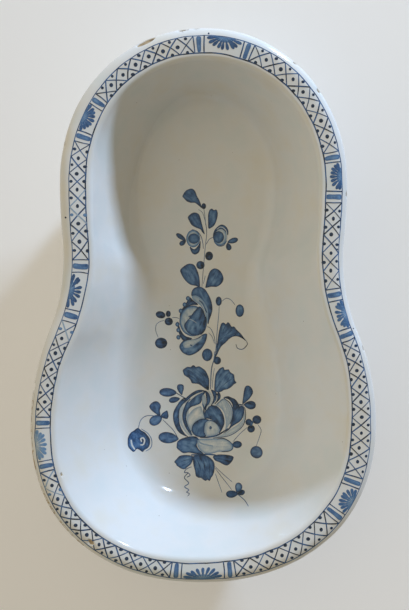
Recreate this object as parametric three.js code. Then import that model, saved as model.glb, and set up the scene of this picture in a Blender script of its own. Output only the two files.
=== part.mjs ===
// A pear-waisted washing basin (bidet) of tin-glazed earthenware, the kind that was pressed in one
// piece in a mould and hung by its turned-out rim in a wooden stand, or stood on its flat foot.
//
// Millimetres, +Z up. The basin stands on z = 0 with its long axis along Y: the wide end is at -Y,
// the narrow end at +Y. The origin is in the middle of its length and width, under the floor.
//
// The real thing is one fired pot with two coats of glaze on it, and the model is built the same way:
//   clay_body      the fired clay, one press-moulded shell with floor, wall, turned-out rim and foot
//   inside_glaze   the coat that was poured inside, up over the lip
//   outside_glaze  the coat that was poured round the outside, from the lip to the wiped foot

import * as THREE from 'three';

// The outline seen from above, over the outermost edge of the lip
const LENGTH = 530;
const WIDE_WIDTH = 332;
const WAIST_WIDTH = 267;
const NARROW_WIDTH = 274;
const WIDE_END_TO_HAUNCH = 151;      // where the wide end is widest
const WIDE_END_TO_WAIST = 314;       // where the waist is narrowest
const WIDE_END_TO_SHOULDER = 383;    // where the narrow end is widest
const WIDE_END_FULLNESS = 2.2;       // 2 is a plain half ellipse, more is squarer
const NARROW_END_FULLNESS = 2.04;
const HAUNCH_SHARE = 0.57;           // share of the long side curve that bulges, the rest is hollow
const SHOULDER_SHARE = 0.77;         // the same for the short curve above the waist

// How far the edge of the flat floor lies inside the lip, seen from above
const FLOOR_INSET_WIDE_END = 84;
const FLOOR_INSET_HAUNCH = 108;
const FLOOR_INSET_WAIST = 90;
const FLOOR_INSET_SHOULDER = 73;
const FLOOR_INSET_NARROW_END = 62;
const WIDE_END_TO_FLOOR_WAIST = 285; // the floor is narrowest nearer to the wide end than the rim is

// The section through the wall
const HEIGHT = 98;                   // over the crest of the rim
const WALL = 8;                      // clay with both coats of glaze
const GLAZE = 0.7;                   // one coat
const CREST_RADIUS = 14;             // where the rim turns down to its edge
const LIP_DROOP = 40;                // degrees that the edge of the rim hangs down
const RIM_SLOPE = 5;                 // degrees that the flat band of the rim falls inwards
const RIM_WIDTH = 25;                // from the edge of the lip to where the rim bends down
const BEND_RADIUS = 12;              // of that bend
const HOLLOW_SHARE = 0.4;            // radius at the foot of the wall, as a share of the wall's width

// Facets
const END_STEPS = 11;
const LONG_SIDE_STEPS = 5;
const SHORT_SIDE_STEPS = 3;
const LIP_INSIDE_STEPS = 2;
const LIP_OUTSIDE_STEPS = 3;
const CREST_STEPS = 2;
const BEND_STEPS = 4;
const HOLLOW_STEPS = 5;

const rimSlope = THREE.MathUtils.degToRad(RIM_SLOPE);
const lipDroop = THREE.MathUtils.degToRad(LIP_DROOP);
const lipRadius = WALL / 2;
const floorTop = WALL;

// One quarter of a fuller ellipse: how far out and how far up it has come at a turn of 0 to 90 degrees
function fullQuarter(turn, fullness) {
  const power = 2 / fullness;
  return { out: Math.sin(turn) ** power, up: 1 - Math.cos(turn) ** power };
}

// A side curve between two places where the outline runs along Y: two arcs that touch, the first
// with the given share of the sum of both radii. Leaves out its first point.
function sideCurve(from, to, share, steps) {
  const turn = 2 * Math.atan2(from.x - to.x, to.y - from.y);
  const bothRadii = (to.y - from.y) / Math.sin(turn);
  const points = [];
  for (let i = 1; i <= steps; i++) {
    const angle = (turn * i) / steps;
    const radius = share * bothRadii;
    points.push(new THREE.Vector2(from.x - radius * (1 - Math.cos(angle)), from.y + radius * Math.sin(angle)));
  }
  for (let i = steps - 1; i >= 0; i--) {
    const angle = (turn * i) / steps;
    const radius = (1 - share) * bothRadii;
    points.push(new THREE.Vector2(to.x + radius * (1 - Math.cos(angle)), to.y - radius * Math.sin(angle)));
  }
  return points;
}

// The whole closed outline, anticlockwise from the middle of the wide end. `inset` gives how far it
// lies inside the lip at the five places that are measured, `toWaist` where along Y the waist is.
function basinOutline(inset, toWaist) {
  const wideEnd = -LENGTH / 2 + inset.wideEnd;
  const narrowEnd = LENGTH / 2 - inset.narrowEnd;
  const haunch = new THREE.Vector2(WIDE_WIDTH / 2 - inset.haunch, -LENGTH / 2 + WIDE_END_TO_HAUNCH);
  const waist = new THREE.Vector2(WAIST_WIDTH / 2 - inset.waist, -LENGTH / 2 + toWaist);
  const shoulder = new THREE.Vector2(NARROW_WIDTH / 2 - inset.shoulder, -LENGTH / 2 + WIDE_END_TO_SHOULDER);

  const half = [];
  for (let i = 0; i <= END_STEPS; i++) {
    const { out, up } = fullQuarter((Math.PI / 2) * (i / END_STEPS), WIDE_END_FULLNESS);
    half.push(new THREE.Vector2(haunch.x * out, wideEnd + (haunch.y - wideEnd) * up));
  }
  half.push(...sideCurve(haunch, waist, HAUNCH_SHARE, LONG_SIDE_STEPS));
  half.push(...sideCurve(waist, shoulder, 1 - SHOULDER_SHARE, SHORT_SIDE_STEPS));
  for (let i = END_STEPS - 1; i >= 0; i--) {
    const { out, up } = fullQuarter((Math.PI / 2) * (i / END_STEPS), NARROW_END_FULLNESS);
    half.push(new THREE.Vector2(shoulder.x * out, narrowEnd - (narrowEnd - shoulder.y) * up));
  }
  const otherHalf = half.slice(1, -1).reverse().map((point) => new THREE.Vector2(-point.x, point.y));
  return [...half, ...otherHalf];
}

const noInset = { wideEnd: 0, haunch: 0, waist: 0, shoulder: 0, narrowEnd: 0 };
const lipOutline = basinOutline(noInset, WIDE_END_TO_WAIST);
const floorOutline = basinOutline({
  wideEnd: FLOOR_INSET_WIDE_END,
  haunch: FLOOR_INSET_HAUNCH,
  waist: FLOOR_INSET_WAIST,
  shoulder: FLOOR_INSET_SHOULDER,
  narrowEnd: FLOOR_INSET_NARROW_END,
}, WIDE_END_TO_FLOOR_WAIST);
const stations = lipOutline.length;

// The direction into the basin, square to the lip, at each station of its outline
const inwards = lipOutline.map((_, i) => {
  const before = lipOutline[(i + stations - 1) % stations];
  const after = lipOutline[(i + 1) % stations];
  return new THREE.Vector2(before.y - after.y, after.x - before.x).normalize();
});

// A ring of the model is one point per station, each with the direction out of the pot's inner face.
// `level` is the height of the ring's point, `lean` the angle of its face from flat to upright.
function rimRing(inset, level, lean) {
  return lipOutline.map((point, i) => ({
    point: new THREE.Vector3(point.x + inwards[i].x * inset, point.y + inwards[i].y * inset, level),
    facing: new THREE.Vector3(inwards[i].x * Math.sin(lean), inwards[i].y * Math.sin(lean), Math.cos(lean)),
  }));
}

// The middles of the two roundings of the rim: the crest, and the lip at its edge, which touches the
// crest from inside
const crestMiddle = {
  inset: lipRadius + (CREST_RADIUS - lipRadius) * Math.sin(lipDroop),
  level: HEIGHT - CREST_RADIUS,
};
const lipMiddle = {
  inset: lipRadius,
  level: crestMiddle.level + (CREST_RADIUS - lipRadius) * Math.cos(lipDroop),
};

// Rings over a rounding, as if a line from its middle turned from one lean to another
function rounding(middle, radius, fromLean, toLean, steps) {
  const rings = [];
  for (let i = 0; i <= steps; i++) {
    const lean = THREE.MathUtils.lerp(fromLean, toLean, i / steps);
    rings.push(rimRing(middle.inset + radius * Math.sin(lean), middle.level + radius * Math.cos(lean), lean));
  }
  return rings;
}

// Where the flat band of the rim ends and bends down
const bandFall = (RIM_WIDTH - crestMiddle.inset - CREST_RADIUS * Math.sin(rimSlope)) * Math.tan(rimSlope);
const brim = rimRing(RIM_WIDTH, crestMiddle.level + CREST_RADIUS * Math.cos(rimSlope) - bandFall, rimSlope);

// The section of the wall at each station, in the upright plane through its brim and its foot: a
// bend, a flank that touches the bend and the hollow, and a hollow that runs out into the floor.
// `flank` is the lean of the flank, and `across` the plane's level direction into the basin.
const sections = floorOutline.map((foot, i) => {
  const top = brim[i].point;
  const across = new THREE.Vector2(foot.x - top.x, foot.y - top.y);
  const hollow = HOLLOW_SHARE * across.length();
  const run = across.length() + BEND_RADIUS * Math.sin(rimSlope);
  const fall = top.z - BEND_RADIUS * Math.cos(rimSlope) - floorTop - hollow;
  const flank = Math.atan2(fall, run) + Math.asin((BEND_RADIUS + hollow) / Math.hypot(run, fall));
  return { top, foot, hollow, flank, across: across.normalize() };
});

// The levels of the wall, each one point per station, from the edge of the floor to the brim
function wallLevels() {
  const levels = [];
  for (let j = 0; j <= HOLLOW_STEPS; j++) {
    levels.push(sections.map(({ foot, hollow, flank, across }) => {
      const lean = (flank * j) / HOLLOW_STEPS;
      const back = -hollow * Math.sin(lean);
      return new THREE.Vector3(foot.x + across.x * back, foot.y + across.y * back,
        floorTop + hollow * (1 - Math.cos(lean)));
    }));
  }
  for (let j = 0; j <= BEND_STEPS; j++) {
    levels.push(sections.map(({ top, flank, across }) => {
      const lean = THREE.MathUtils.lerp(flank, rimSlope, j / BEND_STEPS);
      const out = BEND_RADIUS * (Math.sin(lean) - Math.sin(rimSlope));
      return new THREE.Vector3(top.x + across.x * out, top.y + across.y * out,
        top.z + BEND_RADIUS * (Math.cos(lean) - Math.cos(rimSlope)));
    }));
  }
  return levels;
}

// The same levels as rings that know their facing. The last one is the brim.
function wallRings() {
  const levels = wallLevels();
  return levels.slice(0, -1).map((level, j) => level.map((point, i) => {
    const along = new THREE.Vector3().subVectors(level[(i + 1) % stations], level[(i + stations - 1) % stations]);
    const upwards = new THREE.Vector3().subVectors(levels[j + 1][i], levels[Math.max(j - 1, 0)][i]);
    const facing = j === 0 ? new THREE.Vector3(0, 0, 1) : upwards.cross(along).normalize();
    return { point, facing };
  })).concat([brim]);
}

const innerFace = [
  ...wallRings(),
  ...rounding(crestMiddle, CREST_RADIUS, rimSlope, -lipDroop, CREST_STEPS),
];
const lipInside = rounding(lipMiddle, lipRadius, -lipDroop, -Math.PI / 2, LIP_INSIDE_STEPS).slice(1);
const lipOutside = rounding(lipMiddle, lipRadius, -Math.PI / 2, -lipDroop - Math.PI, LIP_OUTSIDE_STEPS).slice(0, -1);

// The points of a ring, sunk by `depth` below the face of the pot
const sunk = (ring, depth) => ring.map(({ point, facing }) => point.clone().addScaledVector(facing, -depth));

// A closed skin through rings of points. Its two ends are closed with a flat face each, or joined to
// each other where `joined` says so. All its faces point out. Four neighbouring points are split from
// the lower ring to the next station of the higher one, so that two skins that touch split alike.
function skin(rings, joined) {
  const points = rings.flat();
  const triangles = [];
  const bands = joined ? rings.length : rings.length - 1;
  for (let j = 0; j < bands; j++) {
    for (let i = 0; i < stations; i++) {
      const a = j * stations + i;
      const b = j * stations + ((i + 1) % stations);
      const c = ((j + 1) % rings.length) * stations + ((i + 1) % stations);
      const d = ((j + 1) % rings.length) * stations + i;
      triangles.push(...(points[a].z < points[d].z ? [a, b, c, a, c, d] : [a, b, d, b, c, d]));
    }
  }
  if (!joined) {
    for (const [first, order] of [[0, 1], [(rings.length - 1) * stations, -1]]) {
      const middle = points.push(new THREE.Vector3(0, 0, points[first].z)) - 1;
      for (let i = 0; i < stations; i++) {
        const a = first + i;
        const b = first + ((i + 1) % stations);
        triangles.push(...(order > 0 ? [middle, b, a] : [middle, a, b]));
      }
    }
  }
  const volume = new THREE.Vector3();
  let sixVolumes = 0;
  for (let t = 0; t < triangles.length; t += 3) {
    volume.crossVectors(points[triangles[t + 1]], points[triangles[t + 2]]);
    sixVolumes += points[triangles[t]].dot(volume);
  }
  if (sixVolumes < 0) triangles.reverse();
  const geometry = new THREE.BufferGeometry().setFromPoints(points);
  geometry.setIndex(triangles);
  geometry.computeVertexNormals();
  return geometry;
}

// The clay: the inner face under its glaze, round the lip, down the outer face under its glaze to
// the edge of the coat, out to the bare foot and across the flat underside
function clayBody() {
  const inner = innerFace.map((ring) => sunk(ring, GLAZE));
  const lip = [...lipInside, ...lipOutside.slice(1)].map((ring) => sunk(ring, GLAZE));
  const outer = innerFace.slice(1).reverse().map((ring) => sunk(ring, WALL - GLAZE));
  const bareFoot = [sunk(innerFace[1], WALL), sunk(innerFace[0], WALL)];
  return skin([...inner, ...lip, ...outer, ...bareFoot], false);
}

// The coat poured inside: the floor, the wall, the rim and the lip as far as its outermost edge
function insideGlaze() {
  const face = [...innerFace, ...lipInside];
  const back = face.map((ring) => sunk(ring, GLAZE)).reverse();
  return skin([...face.map((ring) => sunk(ring, 0)), ...back], false);
}

// The coat poured outside: from the outermost edge of the lip down to the wiped foot
function outsideGlaze() {
  const outer = innerFace.slice(1).reverse();
  const face = [...lipOutside.map((ring) => sunk(ring, 0)), ...outer.map((ring) => sunk(ring, WALL))];
  const back = [...lipOutside.map((ring) => sunk(ring, GLAZE)), ...outer.map((ring) => sunk(ring, WALL - GLAZE))];
  return skin([...face, ...back.reverse()], true);
}

const firedClay = new THREE.MeshStandardMaterial({ color: 0xb98a5e, roughness: 0.85, metalness: 0 });
const tinGlaze = new THREE.MeshStandardMaterial({ color: 0xdfe3e4, roughness: 0.12, metalness: 0 });

function piece(name, geometry, material) {
  const mesh = new THREE.Mesh(geometry, material);
  mesh.name = name;
  return mesh;
}

const basin = new THREE.Group();
basin.add(piece('clay_body', clayBody(), firedClay));
basin.add(piece('inside_glaze', insideGlaze(), tinGlaze));
basin.add(piece('outside_glaze', outsideGlaze(), tinGlaze));

export default basin;
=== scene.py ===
# %% [markdown]
# # A bidet basin of tin-glazed earthenware
#
# This is faience: soft buff clay, pressed in a mould, fired, covered with a white tin glaze, painted with a
# brush in cobalt on the raw glaze and fired again. We load the imported model first. It gives the clay and its
# two coats of glaze as plain faceted solids, which stay what they are. They set the basin's size and are then
# hidden, and the pieces are built again here.

# %% Load the frame
import math
import random

import bmesh
import bpy
import numpy as np
from mathutils import Matrix, Vector, noise
from mathutils.bvhtree import BVHTree
from mathutils.geometry import delaunay_2d_cdt
from mathutils.interpolate import poly_3d_calc


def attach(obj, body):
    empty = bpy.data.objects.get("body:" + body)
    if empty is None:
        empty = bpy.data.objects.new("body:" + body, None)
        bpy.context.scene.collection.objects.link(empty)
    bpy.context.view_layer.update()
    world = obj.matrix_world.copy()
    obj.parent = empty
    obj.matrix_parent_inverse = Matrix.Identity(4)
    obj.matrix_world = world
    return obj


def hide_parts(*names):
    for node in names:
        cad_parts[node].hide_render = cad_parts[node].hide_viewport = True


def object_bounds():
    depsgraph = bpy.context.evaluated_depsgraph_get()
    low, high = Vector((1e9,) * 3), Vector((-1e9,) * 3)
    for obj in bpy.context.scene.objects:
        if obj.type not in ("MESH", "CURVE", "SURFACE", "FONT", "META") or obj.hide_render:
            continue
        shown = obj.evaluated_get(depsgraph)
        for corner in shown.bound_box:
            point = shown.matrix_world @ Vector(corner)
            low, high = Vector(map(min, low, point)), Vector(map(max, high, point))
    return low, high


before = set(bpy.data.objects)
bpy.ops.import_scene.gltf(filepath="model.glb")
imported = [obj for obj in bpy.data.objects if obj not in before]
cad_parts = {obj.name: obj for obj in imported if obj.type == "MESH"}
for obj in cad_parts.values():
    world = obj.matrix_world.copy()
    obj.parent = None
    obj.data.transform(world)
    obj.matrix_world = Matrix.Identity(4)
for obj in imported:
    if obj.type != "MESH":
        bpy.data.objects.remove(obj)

cad_low, cad_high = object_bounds()
MM = 0.001
SEED = 7    # of all that a hand leaves uneven
LENGTH, WIDE_WIDTH, HEIGHT = [(cad_high[axis] - cad_low[axis]) / MM for axis in (1, 0, 2)]
print(f"basin in the frame: {LENGTH:.1f} x {WIDE_WIDTH:.1f} x {HEIGHT:.1f} mm")


def new_object(name, data):
    made = bpy.data.objects.new(name, data)
    bpy.context.scene.collection.objects.link(made)
    return made


# %% [markdown]
# ## Camera
#
# The photograph is taken from almost straight above, with the camera a little to the left of the middle. We
# give the camera a place and two small tilts instead of a target, because a camera that looks straight down
# has no sideways direction of its own. The lens follows from how strongly the far wall is foreshortened.

# %% Camera, in millimetres and degrees
CAMERA_TO_RIM = 950
CAMERA_LEANS_RIGHT, CAMERA_LEANS_NEAR, CAMERA_TURN = 2.86, 2.58, -0.04
AIM_X, AIM_Y = -0.3, 3.6
SENSOR_WIDTH, FOCAL_LENGTH = 36, 59.0
NEAREST_SEEN, FARTHEST_SEEN = 50, 20000


def make_camera():
    data = bpy.data.cameras.new("camera")
    data.sensor_width, data.lens = SENSOR_WIDTH, FOCAL_LENGTH
    data.clip_start, data.clip_end = NEAREST_SEEN * MM, FARTHEST_SEEN * MM
    right, near, turn = [Matrix.Rotation(math.radians(angle), 4, axis) for angle, axis in (
        (-CAMERA_LEANS_RIGHT, "Y"), (-CAMERA_LEANS_NEAR, "X"), (CAMERA_TURN, "Z"))]
    rotation = right @ near @ turn
    looking = rotation @ Vector((0, 0, -1))
    aim = Vector((AIM_X, AIM_Y, HEIGHT)) * MM
    camera = new_object("camera", data)
    camera.matrix_world = Matrix.Translation(aim - looking * CAMERA_TO_RIM * MM) @ rotation
    bpy.context.scene.camera = camera
    print("camera at", [round(value, 3) for value in camera.matrix_world.translation])


make_camera()

# %% [markdown]
# ## Colours and nodes
#
# Colours are written as the hex codes of a colour picker. A picker's code is in sRGB, and Blender's nodes
# reckon in linear light, so one function turns one into the other. A second small function adds a shader
# node with its settings and links, which keeps each material short enough to read.


# %% Helpers for colours and nodes
def linear(code, alpha=1.0):
    channels = [int(code[i:i + 2], 16) / 255 for i in (1, 3, 5)]
    return tuple(c / 12.92 if c <= 0.04045 else ((c + 0.055) / 1.055) ** 2.4 for c in channels) + (alpha,)


def add_node(material, kind, settings=None, **links):
    """Add a node. `settings` are attributes or input names, and each link is an input name and its source."""
    node = material.node_tree.nodes.new("ShaderNode" + kind)
    for name, value in (settings or {}).items():
        if isinstance(name, int) or name in node.inputs:
            node.inputs[name].default_value = value
        else:
            setattr(node, name, value)
    for name, source in links.items():
        target = node.inputs[int(name[1:])] if name[0] == "_" else node.inputs[name.replace("_", " ")]
        material.node_tree.links.new(source, target)
    return node


def new_material(name):
    material = bpy.data.materials.new(name)
    material.use_nodes = True
    material.node_tree.nodes.clear()
    return material


# %% [markdown]
# ## Floor and light
#
# The basin stands on a plain pale floor. One window shines from low on the right, beyond the narrow end, so
# the left wall and the near wall catch the light and the far wall turns grey, as in the photograph. It is
# small for its distance, so the shade inside the basin has a clear edge and the glaze gives short crisp
# glints. The room adds a warm light, with more of it from the left.

# %% Floor, window and world
FLOOR_SIZE = 8           # metres
FLOOR_COLOUR = "#e9e6e1"
FLOOR_LIFT = 0.22        # how much the floor glows where the camera or a reflection sees it
DAYLIGHT = "#c2dcff"
ROOM_LIGHT = "#fff4dc"
ROOM_GLOW, SIDE_GLOW = 0.205, 0.50
BRIGHTEST_SIDE = (-0.8, 0.35, 0.5)
WINDOW_SIDE, WINDOW_UP = math.radians(58.5), math.radians(17)
WINDOW_AWAY, WINDOW_SIZE = 3.0, (0.18, 0.44)    # metres
WINDOW_POWER = 98


def make_floor():
    """A floor that is paler to the camera and in reflections, which leaves the light on the basin alone."""
    bpy.ops.mesh.primitive_plane_add(size=FLOOR_SIZE, location=(0, 0, 0))
    floor = bpy.context.object
    floor.name = "floor"
    material = new_material("matt_paper_floor")
    surface = add_node(material, "BsdfPrincipled", {"Base Color": linear(FLOOR_COLOUR), "Roughness": 0.9,
                                                    "Specular IOR Level": 0.2})
    glow = add_node(material, "Emission", {"Color": linear(FLOOR_COLOUR), "Strength": FLOOR_LIFT})
    ray = add_node(material, "LightPath")
    seen = add_node(material, "Math", {"operation": "MAXIMUM"}, _0=ray.outputs["Is Camera Ray"],
                    _1=ray.outputs["Is Glossy Ray"])
    lift = add_node(material, "MixShader", _0=seen.outputs[0], _2=glow.outputs[0])
    whole = add_node(material, "AddShader", _0=surface.outputs[0], _1=lift.outputs[0])
    add_node(material, "OutputMaterial", Surface=whole.outputs[0])
    floor.data.materials.append(material)


def make_window():
    data = bpy.data.lights.new("window", "AREA")
    data.shape = "RECTANGLE"
    data.size, data.size_y = WINDOW_SIZE
    data.energy = WINDOW_POWER
    data.color = linear(DAYLIGHT)[:3]
    place = WINDOW_AWAY * Vector((math.cos(WINDOW_UP) * math.cos(WINDOW_SIDE),
                                  math.cos(WINDOW_UP) * math.sin(WINDOW_SIDE), math.sin(WINDOW_UP)))
    lamp = new_object("window", data)
    lamp.location = place
    lamp.rotation_euler = (-place).to_track_quat("-Z", "Y").to_euler()


def make_world():
    """Even room light, and more of it from the left, where pale walls send the daylight back."""
    world = bpy.data.worlds.new("studio")
    bpy.context.scene.world = world
    world.use_nodes = True
    background = world.node_tree.nodes["Background"]
    background.inputs["Color"].default_value = linear(ROOM_LIGHT)
    looking = add_node(world, "TexCoord")
    sidewards = add_node(world, "VectorMath", {"operation": "DOT_PRODUCT", 1: BRIGHTEST_SIDE},
                         _0=looking.outputs["Generated"])
    kept = add_node(world, "Math", {"operation": "MAXIMUM", 1: 0.0}, _0=sidewards.outputs["Value"])
    glow = add_node(world, "Math", {"operation": "MULTIPLY_ADD", 1: SIDE_GLOW, 2: ROOM_GLOW},
                    _0=kept.outputs[0])
    world.node_tree.links.new(glow.outputs[0], background.inputs["Strength"])


make_floor()
make_window()
make_world()
bpy.context.scene.view_settings.view_transform = "Standard"

# %% [markdown]
# ## The form of the basin
#
# The outline is a pear with a slight waist: half a full ellipse at each end, and two touching arcs along
# each side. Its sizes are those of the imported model, which the frame holds only as facets, so they are
# stated here again. Below the rim, each point of the outline has a wall section of its own: a bend, a
# straight flank, and a hollow that runs out into the floor, wide where the floor lies far from the wall.
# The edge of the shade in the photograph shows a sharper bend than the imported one, a flatter hollow on the
# left near the narrow end, and a rim that ends just inside its painted line. These three differ here.

# %% Sizes of the form, in millimetres
WAIST_WIDTH, NARROW_WIDTH = 267, 274
TO_HAUNCH, TO_WAIST, TO_SHOULDER, TO_FLOOR_WAIST = 151, 314, 383, 285
WIDE_FULLNESS, NARROW_FULLNESS = 2.2, 2.04
HAUNCH_SHARE, SHOULDER_SHARE = 0.57, 0.77
FLOOR_INSETS = dict(wide=84, haunch=108, waist=90, shoulder=73, narrow=62)
# the rings of the floor shrink to a line: its share of the length, and how far from the ends it must stop
SPINE_SHARE, SPINE_END = 0.8, 60
WALL, GLAZE = 8.0, 0.7
CREST_RADIUS, LIP_DROOP = 14.0, math.radians(40)
RIM_SLOPE, RIM_WIDTH, BEND_RADIUS = math.radians(5), 25.0, 6.0
HOLLOW_SHARE, LEAST_HOLLOW_SHARE = 0.4, 0.1    # the hollow's radius, as a share of the way from floor to rim
FLATTER_X, FLATTER_Y = (-110, -20), (70, 140)    # it is least to the left of these, and beyond these
# the inner line of the painted border: how far along the lip, and how far inside it
INNER_LINE = [(45, 20.5), (150, 24), (250, 24.5), (350, 19), (430, 21), (512, 21.5), (590, 22), (670, 23.7),
              (714, 24), (830, 23), (930, 25), (1015, 24), (1110, 19.5), (1180, 19), (1262, 18), (1368, 19)]
PAST_LINE = 1.5      # the rim runs on so far inside that line
BLEND_STATIONS = 17  # and its edge is smoothed over so many points of the outline
LIP_RADIUS = WALL / 2
CREST_INSET = LIP_RADIUS + (CREST_RADIUS - LIP_RADIUS) * math.sin(LIP_DROOP)
CREST_LEVEL = HEIGHT - CREST_RADIUS
LIP_LEVEL = CREST_LEVEL + (CREST_RADIUS - LIP_RADIUS) * math.cos(LIP_DROOP)
BAND_FALL = (RIM_WIDTH - CREST_INSET - CREST_RADIUS * math.sin(RIM_SLOPE)) * math.tan(RIM_SLOPE)
BRIM_LEVEL = CREST_LEVEL + CREST_RADIUS * math.cos(RIM_SLOPE) - BAND_FALL


# %% The outline
def full_quarter(turn, fullness):
    """How far out and how far up a full ellipse has come after a turn of 0 to 90 degrees."""
    turn = np.clip(turn, 0, math.pi / 2)
    return np.sin(turn) ** (2 / fullness), 1 - np.cos(turn) ** (2 / fullness)


def arc(place, radius, angle):
    return np.column_stack([place[0] - radius * (1 - np.cos(angle)), place[1] + radius * np.sin(angle)])


def side_curve(start, end, share, steps):
    """Two arcs that touch, between two places where the outline runs along Y."""
    turn = 2 * math.atan2(start[0] - end[0], end[1] - start[1])
    radii = (end[1] - start[1]) / math.sin(turn)
    return np.vstack([arc(start, share * radii, turn * np.arange(1, steps + 1) / steps),
                      arc(end, (share - 1) * radii, turn * np.arange(steps - 1, -1, -1) / steps)])


END_STEPS, LONG_STEPS, SHORT_STEPS = 60, 26, 12


def basin_outline(wide=0, haunch=0, waist=0, shoulder=0, narrow=0, to_waist=TO_WAIST):
    """The closed outline, anticlockwise from the middle of the wide end, so far inside the lip."""
    wide_end, narrow_end = -LENGTH / 2 + wide, LENGTH / 2 - narrow
    haunch_at = (WIDE_WIDTH / 2 - haunch, -LENGTH / 2 + TO_HAUNCH)
    waist_at = (WAIST_WIDTH / 2 - waist, -LENGTH / 2 + to_waist)
    shoulder_at = (NARROW_WIDTH / 2 - shoulder, -LENGTH / 2 + TO_SHOULDER)
    out, up = full_quarter(np.linspace(0, math.pi / 2, END_STEPS + 1), WIDE_FULLNESS)
    near = np.column_stack([haunch_at[0] * out, wide_end + (haunch_at[1] - wide_end) * up])
    out, up = full_quarter(np.linspace(math.pi / 2, 0, END_STEPS + 1)[1:], NARROW_FULLNESS)
    far = np.column_stack([shoulder_at[0] * out, narrow_end - (narrow_end - shoulder_at[1]) * up])
    half = np.vstack([near, side_curve(haunch_at, waist_at, HAUNCH_SHARE, LONG_STEPS),
                      side_curve(waist_at, shoulder_at, 1 - SHOULDER_SHARE, SHORT_STEPS), far])
    return np.vstack([half, half[-2:0:-1] * [-1, 1]])


LIP_OUTLINE = basin_outline()
FLOOR_OUTLINE = basin_outline(to_waist=TO_FLOOR_WAIST, **FLOOR_INSETS)
STATIONS = len(LIP_OUTLINE)
TANGENT = np.roll(LIP_OUTLINE, -1, 0) - np.roll(LIP_OUTLINE, 1, 0)
INWARDS = np.column_stack([-TANGENT[:, 1], TANGENT[:, 0]]) / np.linalg.norm(TANGENT, axis=1)[:, None]
LIP_STEP = np.linalg.norm(np.roll(LIP_OUTLINE, -1, 0) - LIP_OUTLINE, axis=1)
LIP_ALONG = np.concatenate([[0], np.cumsum(LIP_STEP)])
AROUND = LIP_ALONG[-1]


def rim_edge():
    """How wide the rim is at each point of the outline."""
    edge = np.interp(LIP_ALONG[:-1], *zip(*INNER_LINE), period=AROUND)
    weights = np.hanning(BLEND_STATIONS) / np.hanning(BLEND_STATIONS).sum()
    return np.convolve(np.tile(edge + PAST_LINE, 3), weights, "same")[STATIONS:2 * STATIONS, None]


RIM_EDGE = rim_edge()
print(f"outline of {STATIONS} stations, {AROUND:.0f} mm round the lip")
print(f"rim {RIM_EDGE.min():.1f} to {RIM_EDGE.max():.1f} mm wide")

# %% [markdown]
# ## The rings of the inner face
#
# From the middle outwards: the flat floor, the hollow wall, the bend, the slope of the rim that carries the
# painted border, and the round lip. Each ring keeps the direction in which its face looks, because the clay
# and the outer face lie a set depth below it.

# %% Rings
FLOOR_RINGS, HOLLOW_RINGS, FLANK_RINGS, BEND_RINGS = 24, 14, 16, 10
BAND_RINGS, CREST_RINGS, LIP_RINGS = 6, 8, 14
FACING_UP = np.tile([0.0, 0.0, 1.0], (STATIONS, 1))


def shares(rings):
    return np.linspace(0, 1, rings + 1)


def at_level(plan, level):
    return np.column_stack([plan, np.full(STATIONS, level)])


def rim_ring(inset, level, lean):
    """A ring at one inset and level, whose face leans by so much from flat."""
    facing = np.column_stack([INWARDS * math.sin(lean), np.full(STATIONS, math.cos(lean))])
    return at_level(LIP_OUTLINE + INWARDS * inset, level), facing


def rounding(inset, level, radius, leans):
    """Rings over a rounding of the rim, as if a line from its middle turned through these leans."""
    return [rim_ring(inset + radius * math.sin(lean), level + radius * math.cos(lean), lean)
            for lean in leans]


def floor_rings():
    """Rings that shrink to a line along the middle of the floor."""
    reach = np.abs(FLOOR_OUTLINE[:, 1]).max() - SPINE_END
    spine = np.column_stack([np.zeros(STATIONS), np.clip(FLOOR_OUTLINE[:, 1] * SPINE_SHARE, -reach, reach)])
    return [(at_level(spine + (FLOOR_OUTLINE - spine) * share, WALL), FACING_UP)
            for share in shares(FLOOR_RINGS)[:-1]]


def wall_levels():
    """The points of the wall, one array for each level, from the edge of the floor to the brim."""
    brim = rim_ring(RIM_EDGE, BRIM_LEVEL, RIM_SLOPE)[0]
    foot = at_level(FLOOR_OUTLINE, WALL)
    width = np.linalg.norm(foot[:, :2] - brim[:, :2], axis=1)
    across = np.column_stack([(foot[:, :2] - brim[:, :2]) / width[:, None], np.zeros(STATIONS)])
    up = np.array([0.0, 0.0, 1.0])
    x, y = LIP_OUTLINE.T
    flatter = np.interp(y, FLATTER_Y, [0, 1]) * np.interp(x, FLATTER_X, [1, 0])
    hollow = width * (HOLLOW_SHARE + (LEAST_HOLLOW_SHARE - HOLLOW_SHARE) * flatter)
    run = width + BEND_RADIUS * math.sin(RIM_SLOPE)
    fall = BRIM_LEVEL - BEND_RADIUS * math.cos(RIM_SLOPE) - WALL - hollow
    flank = np.arctan2(fall, run) + np.arcsin((BEND_RADIUS + hollow) / np.hypot(run, fall))
    levels = []
    for share in shares(HOLLOW_RINGS):
        lean = (flank * share)[:, None]
        levels.append(foot + hollow[:, None] * (up * (1 - np.cos(lean)) - across * np.sin(lean)))
    bend = []
    for share in shares(BEND_RINGS):
        lean = (flank + (RIM_SLOPE - flank) * share)[:, None]
        bend.append(brim + BEND_RADIUS * (across * (np.sin(lean) - math.sin(RIM_SLOPE))
                                          + up * (np.cos(lean) - math.cos(RIM_SLOPE))))
    for share in shares(FLANK_RINGS)[1:-1]:
        levels.append(levels[HOLLOW_RINGS] + (bend[0] - levels[HOLLOW_RINGS]) * share)
    return levels + bend


def wall_rings():
    levels = wall_levels()
    rings = [(levels[0], FACING_UP)]
    for below, level, above in zip(levels, levels[1:], levels[2:]):
        facing = np.cross(above - below, np.roll(level, -1, 0) - np.roll(level, 1, 0))
        rings.append((level, facing / np.linalg.norm(facing, axis=1)[:, None]))
    return rings


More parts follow.
